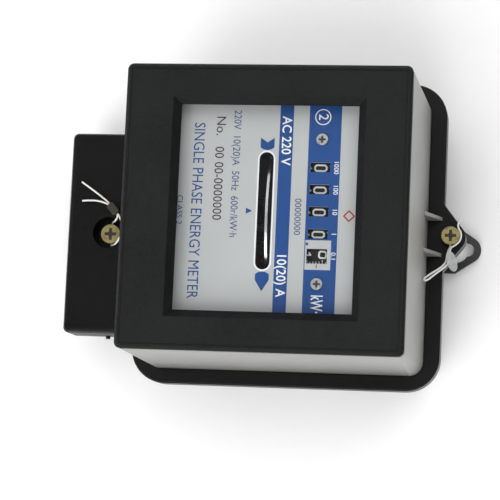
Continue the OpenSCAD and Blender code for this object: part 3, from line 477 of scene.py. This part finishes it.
def figure_shapes(digit, half_wide, half_high, line):
    """Flat quads and round joins of a figure, as lists of points in millimetres."""
    for stroke in STROKES[digit]:
        points = [Vector((x * half_wide, y * half_high)) for x, y in stroke]
        for a, b in zip(points, points[1:]):
            span = b - a
            side = Vector((-span.y, span.x)).normalized() * line / 2
            pieces = max(1, math.ceil(span.length / 0.5))
            for i in range(pieces):
                p, q = a + span * (i / pieces), a + span * ((i + 1) / pieces)
                yield [p - side, q - side, q + side, p + side]
        eighths = [math.pi * k / 4 for k in range(8)]
        for p in points:
            yield [p + Vector((math.cos(t), math.sin(t))) * line / 2 for t in eighths]


def piece_from(work, name, material, body):
    mesh = bpy.data.meshes.new(name)
    work.to_mesh(mesh)
    work.free()
    return make_object(name, mesh, material, body)


# ---- Pieces ----

def build_cord(name, points, node, body):
    curve = bpy.data.curves.new(name, "CURVE")
    curve.dimensions = "3D"
    curve.bevel_depth = CORD_WIDTH / 2 * MM
    curve.bevel_resolution = 4
    curve.use_fill_caps = True
    spline = curve.splines.new("BEZIER")
    spline.bezier_points.add(len(points) - 1)
    for knot, point in zip(spline.bezier_points, points):
        knot.co = Vector(point) * MM
        knot.handle_left_type = knot.handle_right_type = "AUTO"
    curve.materials.append(material_for("seal_wire"))
    piece = bpy.data.objects.new(name, curve)
    bpy.context.scene.collection.objects.link(piece)
    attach(piece, body)
    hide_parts(node)
    return piece


class METER_OT_seals(bpy.types.Operator):
    """Lays the two seal wires, the clear tag and the crimped bead"""
    bl_idname = "meter.seals"
    bl_label = "Seals"

    def execute(self, context):
        tag = refined("top_seal_tag", 0.0009, 4)
        bead = refined("bottom_seal_bead", 0.0006, 3)
        build_cord("top_seal_cord", TOP_WIRE, "top_seal_wire", "main_cover")
        build_cord("bottom_seal_cord", BOTTOM_WIRE, "bottom_seal_wire", "terminal_lid")
        return {"FINISHED"}


class METER_OT_case(bpy.types.Operator):
    """Finishes the case: base, rim, shell, bezel, terminal cover and hanger"""
    bl_idname = "meter.case"
    bl_label = "Case"

    def execute(self, context):
        radius = finish_values().edge_radius
        for node, share in (("base", 1.0), ("cover_rim", 0.4), ("cover_shell", 0.8), ("front_bezel", 0.8),
                            ("terminal_cover", 1.0), ("terminal_block", 0.8), ("hanger_plate", 0.6),
                            ("hanger_strap", 0.4), ("cover_gasket", 0.0)):
            refined(node, radius * share, join_flats=node != "cover_rim")
        return {"FINISHED"}


class METER_OT_glass(bpy.types.Operator):
    """Makes the window glass"""
    bl_idname = "meter.glass"
    bl_label = "Glass"

    def execute(self, context):
        refined("window_glass", 0.0002, 2)
        return {"FINISHED"}


class METER_OT_screws(bpy.types.Operator):
    """Finishes the screws and rivets"""
    bl_idname = "meter.screws"
    bl_label = "Screws"

    def execute(self, context):
        for node, radius in (("top_seal_screw", 0.0006), ("terminal_cover_screw", 0.0005),
                             ("dial_screws", 0.0002), ("terminal_screws", 0.00025), ("block_screws", 0.00025),
                             ("link_screws", 0.00015), ("frame_screws", 0.0003), ("core_screws", 0.00025),
                             ("brake_screws", 0.0002), ("register_screws", 0.0002), ("strap_rivets", 0.0002)):
            refined(node, radius)
        # Painted shade: a dark sheet in each cross recess of the seal and dial screws stands for the shadow
        # inside the recess.
        painted_shade = moulded("recess_painted_shade", (0.014, 0.013, 0.008), 0.45, 900.0, 0.00005, 0.5)
        for node, body in (("top_seal_screw", "main_cover"), ("terminal_cover_screw", "terminal_lid")):
            low, high = (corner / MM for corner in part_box(node))
            self.recess(node + "_recess", painted_shade, body, "zinc_yellow", [(low + high) / 2],
                        (high.z - low.z) / 2, low.y + SEAL_RECESS, SEAL_RECESS - 0.4)
        # The dial screws' recesses get the same painted shade.
        low, high = (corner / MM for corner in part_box("dial_screws"))
        r = (high.z - low.z) / 2
        centres = [Vector((x, 0, (low.z + high.z) / 2)) for x in (low.x + r, high.x - r)]
        self.recess("dial_screws_recess", painted_shade, "base", "steel", centres, r, low.y + DIAL_RECESS,
                    DIAL_RECESS - 0.2)
        return {"FINISHED"}

    @staticmethod
    def recess(name, material, body, slot, centres, head_r, bottom, depth):
        """Dark sheets laid in the cross recesses of round heads as painted shade, in millimetres."""
        work = bmesh.new()
        long, short = head_r * 0.62, head_r * 0.155
        for centre in centres:
            x, z = centre.x, centre.z
            flat_shape(work, rect(x - long, x + long, z - short, z + short), depth, bottom)
            flat_shape(work, rect(x - short, x + short, z + short, z + long), depth, bottom)
            flat_shape(work, rect(x - short, x + short, z - long, z - short), depth, bottom)
        piece_from(work, name, material, body)


class METER_OT_movement(bpy.types.Operator):
    """Finishes the measuring movement, the terminals and the register's frame and wheels"""
    bl_idname = "meter.movement"
    bl_label = "Movement"

    def execute(self, context):
        for node, radius in (("main_frame", 0.0004), ("voltage_core", 0.0002), ("current_core", 0.0002),
                             ("voltage_coil", 0.0004), ("current_coils", 0.0004), ("brake_yoke", 0.0004),
                             ("brake_magnets", 0.0003), ("spindle", 0.00015),
                             ("top_bearing", 0.0002), ("jewel_bearing", 0.0002), ("register_frame", 0.0002),
                             ("terminal_clamps", 0.0003), ("voltage_link", 0.0002)):
            refined(node, radius, 2)
        disc_metal = drawn_metal("disc_aluminium", (0.62, 0.63, 0.64), (0.5, 0.51, 0.52), 0.2, (12, 1, 1))
        refined("rotor_disc", 0.00015, 2, disc_metal)
        for node in ("worm", "worm_wheel", "idler_gear", "drum_shaft", "carry_shaft", "carry_pinion_a",
                     "carry_pinion_b", "carry_pinion_c", "carry_pinion_d", "current_leads", "voltage_leads"):
            finish_node(node)
        return {"FINISHED"}


class METER_OT_dial(bpy.types.Operator):
    """Prints the dial plate: bands, slot border, arrow, figures and units"""
    bl_idname = "meter.dial"
    bl_label = "Dial"

    def execute(self, context):
        refined("dial_plate", 0.00012, 2)
        low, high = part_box("dial_plate")
        front = low.y / MM
        half = high.x / MM
        film = FILM
        windows = [(x - 1.75, x + 1.75, 15.05, 22.15) for _, x in DRUM_PLACES]
        panel = (10.3, 20.9, 14.4, 23.6)
        last = (13.35, 18.65, 14.95, 22.25)
        v = finish_values()
        blue = bmesh.new()
        for outline in rects_round_holes((-half, half, 14.1, 25.7), windows + [panel]):
            flat_shape(blue, outline, film, front)
        flat_shape(blue, rect(-half, half, 3.5, 8.4), film, front)
        flat_shape(blue, [(-26.4, -3.2), (-22.9, -3.2), (-22.2, -2.2), (-21.9, -0.8), (-22.2, 0.8),
                          (-22.9, 1.8), (-26.4, 1.8), (-24.7, -0.7)], film, front)
        flat_shape(blue, [(21.9, -0.8), (22.2, -2.2), (22.9, -3.2), (25, -3.2), (29, -0.7), (25, 1.8),
                          (22.9, 1.8), (22.2, 0.8)], film, front)
        flat_shape(blue, [(-0.9, -7.5), (1.3, -7.5), (0.2, -5.3)], film, front)
        flat_shape(blue, rect(11.2, 12.1, 14.5, 15.4), film * 2, front)
        letter_on_plate(blue, "SINGLE PHASE ENERGY METER", 0.3, -25.8, 3.9, front - film,
                        width_factor=0.83)
        letter_on_plate(blue, "CLASS 2", 0.3, -31.8, 2.1, front - film)
        piece_from(blue, "dial_print_blue", ink("ink_blue", v.blue_ink), "base")
        silver = bmesh.new()
        for outline in rects_round_holes(panel, [last]):
            flat_shape(silver, outline, film, front)
        piece_from(silver, "dial_print_silver", ink("ink_silver", (0.4, 0.415, 0.415)), "base")
        white = bmesh.new()
        self.slot_border(white, film, front)
        for words, x in (("1000", -16), ("100", -8), ("10", 0), ("1", 8), ("0.1", 16)):
            letter_on_plate(white, words, x, 24.4, 1.7, front - film * 2, bold=0.004)
        letter_on_plate(white, "kW·h", 29.8, 19, 4.2, front - film * 2, bold=0.012, align="LEFT",
                        width_factor=0.62)
        letter_on_plate(white, "2", -34.2, 19, 3.4, front - film * 2, bold=0.004)
        self.ring(white, -34.2, 19, 2.9, 2.55, film * 2, front)
        letter_on_plate(white, "AC 220 V", -25.4, 5.95, 3.3, front - film * 2, bold=0.012, width_factor=0.92)
        letter_on_plate(white, "10(20) A", 23, 5.95, 3.3, front - film * 2, bold=0.012, width_factor=0.92)
        piece_from(white, "dial_print_white", ink("ink_white", (0.72, 0.74, 0.75)), "base")
        dark = bmesh.new()
        letter_on_plate(dark, "220V  10(20)A  50Hz  600r/kW·h", -36.4, -12, 2.6, front - film,
                        align="LEFT", width_factor=0.9)
        letter_on_plate(dark, "00000000", 2, 11.1, 2.3, front - film)
        piece_from(dark, "dial_print_navy", ink("ink_navy", (0.02, 0.05, 0.16)), "base")
        black = bmesh.new()
        letter_on_plate(black, "No.", -34.2, -18, 3.3, front - film, align="LEFT")
        letter_on_plate(black, "00 00-0000000", -23, -18.2, 3.2, front - film, align="LEFT",
                        width_factor=0.95)
        flat_shape(black, rect(18.95, 20.2, 18.45, 18.75), film * 2, front)
        piece_from(black, "dial_print_black", ink("ink_black", (0.015, 0.015, 0.018)), "base")
        red = bmesh.new()
        self.ring(red, 1.4, 29.6, 2.2, 1.5, film, front, 4)
        piece_from(red, "dial_print_red", ink("ink_red", (0.3, 0.012, 0.012)), "base")
        return {"FINISHED"}

    @staticmethod
    def ring(work, x, z, outer, inner, depth, front, sides=40):
        for i in range(sides):
            a, b = (2 * math.pi * k / sides for k in (i, i + 1))
            flat_shape(work, [(x + outer * math.cos(a), z + outer * math.sin(a)),
                              (x + outer * math.cos(b), z + outer * math.sin(b)),
                              (x + inner * math.cos(b), z + inner * math.sin(b)),
                              (x + inner * math.cos(a), z + inner * math.sin(a))], depth, front)

    @staticmethod
    def slot_border(work, film, front):
        """A thin white line round the slot."""
        middle, radius, half, line = -0.8, 2.6, 18.6, 0.55
        steps = 16

        def outline(r):
            right = [(half + r * math.cos(a), middle + r * math.sin(a))
                     for a in (math.pi * (k / steps - 0.5) for k in range(steps + 1))]
            return right + [(-x, z) for x, z in reversed(right)]

        outer, inner = outline(radius + line), outline(radius)
        count = len(outer)
        for i in range(count):
            j = (i + 1) % count
            flat_shape(work, [outer[i], outer[j], inner[j], inner[i]], film, front)


class METER_OT_drums(bpy.types.Operator):
    """Puts the white figures round the five number drums and a mark on the disc's edge"""
    bl_idname = "meter.drums"
    bl_label = "Drums"

    def execute(self, context):
        figures = ink("ink_figures", (0.66, 0.66, 0.64))
        for node, x in DRUM_PLACES:
            refined(node, 0.00012, 2)
            work = bmesh.new()
            for digit in range(10):
                for shape in figure_shapes(str(digit), 1.02, 2.1, 0.62):
                    self.wrap(work, shape, x, -FIGURE_STEP * digit)
            piece_from(work, node + "_figures", figures, BODY_OF[node])
        node = "tenths_drum"
        refined(node, 0.00012, 2)
        work = bmesh.new()
        for digit in range(10):
            for shape in figure_shapes(str(digit), 1.15, 1.25, 0.6):
                self.wrap(work, shape, 15.2, TENTHS_LEAD - FIGURE_STEP * digit)
        half_line = 0.13
        for tick in range(50):
            reach = 1.5 if tick % 5 == 0 else 0.95
            self.wrap(work, [(-reach, -half_line), (0, -half_line), (0, half_line), (-reach, half_line)],
                      18.6, TENTHS_LEAD + tick * FIGURE_STEP / 5)
        piece_from(work, node + "_figures", figures, BODY_OF[node])
        self.disc_mark()
        return {"FINISHED"}

    @staticmethod
    def wrap(work, shape, x, angle):
        """Bends a flat shape round a drum; angle is how far above the front it stands, in degrees."""
        axis_y, axis_z = DRUM_AXIS
        out = DRUM_RADIUS + FILM
        corners = []
        for px, py in shape:
            turn = math.radians(angle) + py / DRUM_RADIUS
            y, z = axis_y - out * math.cos(turn), axis_z + out * math.sin(turn)
            corners.append(Vector((x + px, y, z)) * MM)
        work.faces.new([work.verts.new(c) for c in corners])

    @staticmethod
    def disc_mark():
        """A dark band on the disc's edge, at the back when the meter is new."""
        axis_y, radius, low, high = -53.0, 40.03, -1.1, -0.1
        work = bmesh.new()
        steps, start, reach = 8, 78, 24
        for i in range(steps):
            a, b = (math.radians(start + reach * k / steps) for k in (i, i + 1))
            corners = [(radius * math.cos(t), axis_y + radius * math.sin(t), z)
                       for t, z in ((a, low), (b, low), (b, high), (a, high))]
            work.faces.new([work.verts.new(Vector(c) * MM) for c in corners])
        piece_from(work, "disc_index_mark", ink("ink_black", (0.015, 0.015, 0.018)), "rotor")


class METER_OT_stage(bpy.types.Operator):
    """Sets the camera, the pale wall and floor, and the soft light"""
    bl_idname = "meter.stage"
    bl_label = "Stage"

    def execute(self, context):
        v = context.scene.meter_stage
        camera = bpy.data.objects.new("camera", bpy.data.cameras.new("camera"))
        camera.data.lens = v.lens
        camera.data.clip_start = 0.01
        camera.data.clip_end = 20
        right = Vector((-0.04448, 0.15507, 0.98690))
        up = Vector((-0.99069, -0.13411, -0.02358))
        back = Vector((0.12870, -0.97876, 0.15959))
        place = Vector((0.10829, -0.81050, 0.11112))
        rows = [[right[i], up[i], back[i], place[i]] for i in range(3)]
        camera.matrix_world = Matrix(rows + [[0, 0, 0, 1]])
        context.scene.collection.objects.link(camera)
        context.scene.camera = camera
        self.backdrop(v)
        self.light("key", (0.9, -1.1, -0.15), 1.2, v.key_power)
        self.light("fill", (-0.8, -1.4, 0.5), 1.4, v.key_power * 0.8)
        self.light("rear", (0.0, 1.3, 0.1), 0.7, v.key_power * 0.35)
        world = bpy.data.worlds.new("soft_sky")
        world.use_nodes = True
        tree = world.node_tree
        sky = add(tree, "ShaderNodeBackground", {"Color": (1, 1, 1, 1), "Strength": v.sky_strength})
        seen = add(tree, "ShaderNodeBackground", {"Color": rgba(v.wall_colour), "Strength": 1.0})
        path = add(tree, "ShaderNodeLightPath")
        either = add(tree, "ShaderNodeMixShader", {0: path.outputs["Is Camera Ray"], 1: sky.outputs[0],
                                                   2: seen.outputs[0]})
        tree.links.new(either.outputs[0], tree.nodes["World Output"].inputs["Surface"])
        context.scene.world = world
        context.scene.view_settings.view_transform = "Standard"
        return {"FINISHED"}

    @staticmethod
    def backdrop(v):
        """A wall that runs into a floor in one curve, and that shows only from its front."""
        wall_y, floor_z, bend, steps, half = 0.0012, -0.3, 0.2, 12, 3.0
        profile = [(wall_y, 2.5)]
        for i in range(steps + 1):
            a = math.pi / 2 * i / steps
            profile.append((wall_y - bend + bend * math.cos(a), floor_z + bend - bend * math.sin(a)))
        profile.append((-3.0, floor_z))
        work = bmesh.new()
        rows = [[work.verts.new((x, y, z)) for x in (-half, half)] for y, z in profile]
        for a, b in zip(rows, rows[1:]):
            work.faces.new((b[0], b[1], a[1], a[0]))
        mesh = bpy.data.meshes.new("backdrop")
        work.to_mesh(mesh)
        work.free()
        wall = bpy.data.objects.new("backdrop", mesh)
        bpy.context.scene.collection.objects.link(wall)
        for face in mesh.polygons:
            face.use_smooth = True
        paint = moulded("wall_paint", v.wall_colour, 0.8, 300.0, 0.00002, 0.01)
        tree = paint.node_tree
        facing = add(tree, "ShaderNodeNewGeometry")
        clear = add(tree, "ShaderNodeBsdfTransparent")
        one_sided = add(tree, "ShaderNodeMixShader", {0: facing.outputs["Backfacing"],
                                                      1: tree.nodes["Principled BSDF"].outputs[0],
                                                      2: clear.outputs[0]})
        tree.links.new(one_sided.outputs[0], tree.nodes["Material Output"].inputs["Surface"])
        mesh.materials.append(paint)
        wall.visible_shadow = False

    @staticmethod
    def light(name, place, size, power):
        lamp = bpy.data.lights.new(name, "AREA")
        lamp.size = size
        lamp.energy = power
        lamp.shape = "SQUARE"
        holder = bpy.data.objects.new(name, lamp)
        holder.location = place
        holder.visible_camera = False
        holder.rotation_euler = (Vector((0, -0.05, 0)) - Vector(place)).to_track_quat("-Z", "Y").to_euler()
        bpy.context.scene.collection.objects.link(holder)


class METER_PT_panel(bpy.types.Panel):
    """Lists the meter's pieces and finishes"""
    bl_idname = "METER_PT_panel"
    bl_label = "Meter"
    bl_space_type = "VIEW_3D"
    bl_region_type = "UI"
    bl_category = "Meter"

    def draw(self, context):
        for group in (context.scene.meter_finish, context.scene.meter_stage):
            for name in group.__annotations__:
                self.layout.prop(group, name)
        for operator in OPERATORS:
            self.layout.operator(operator.bl_idname)


OPERATORS = (METER_OT_stage, METER_OT_seals, METER_OT_case, METER_OT_glass, METER_OT_screws,
             METER_OT_movement, METER_OT_dial, METER_OT_drums)
CLASSES = (MeterFinish, MeterStage) + OPERATORS + (METER_PT_panel,)


def register():
    for cls in CLASSES:
        bpy.utils.register_class(cls)
    bpy.types.Scene.meter_finish = bpy.props.PointerProperty(type=MeterFinish)
    bpy.types.Scene.meter_stage = bpy.props.PointerProperty(type=MeterStage)


def unregister():
    del bpy.types.Scene.meter_stage
    del bpy.types.Scene.meter_finish
    for cls in reversed(CLASSES):
        bpy.utils.unregister_class(cls)


def main():
    register()
    for operator in OPERATORS:
        group, name = operator.bl_idname.split(".")
        getattr(getattr(bpy.ops, group), name)()


if __name__ == "__main__":
    main()
